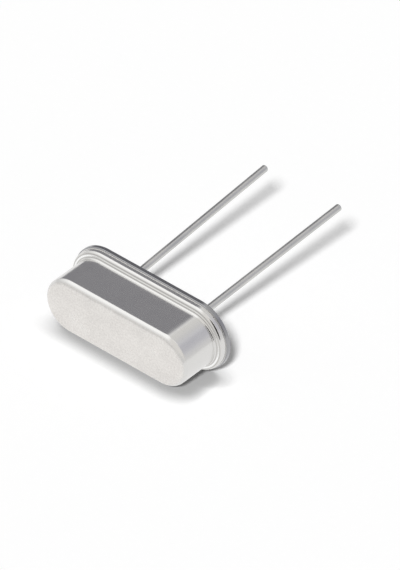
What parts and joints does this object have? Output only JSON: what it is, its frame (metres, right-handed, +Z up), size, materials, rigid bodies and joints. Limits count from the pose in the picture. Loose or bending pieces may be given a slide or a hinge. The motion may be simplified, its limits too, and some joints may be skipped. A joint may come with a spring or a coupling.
{
  "type": "quartz crystal unit",
  "caption": "Quartz crystal unit in a low stadium-shaped metal can with a welded flange and wire leads, lying on its side.",
  "frame": {"origin": "on the surface that the unit lies on, midway along each side of its bounding box", "axes": "+X along the can's long side, +Y from the can's closed end towards the lead tips, +Z up"},
  "size_m": [0.011, 0.0167, 0.0048],
  "materials": {
    "plated_can": "satin",
    "plated_base": "satin",
    "tinned_wire": "gloss",
    "seal_glass": "gloss",
    "spring_strip": "satin",
    "quartz": "gloss",
    "silver_film": "gloss",
    "silver_epoxy": "matte"
  },
  "bodies": {
    "root": {"can": "plated_can", "base_plate": "plated_base", "glass_bead_left": "seal_glass", "glass_bead_right": "seal_glass", "lead_left": "tinned_wire", "lead_right": "tinned_wire", "clip_left": "spring_strip", "clip_right": "spring_strip", "quartz_blank": "quartz", "electrode_front": "silver_film", "electrode_back": "silver_film", "adhesive_left": "silver_epoxy", "adhesive_right": "silver_epoxy"}
  },
  "joints": []
}
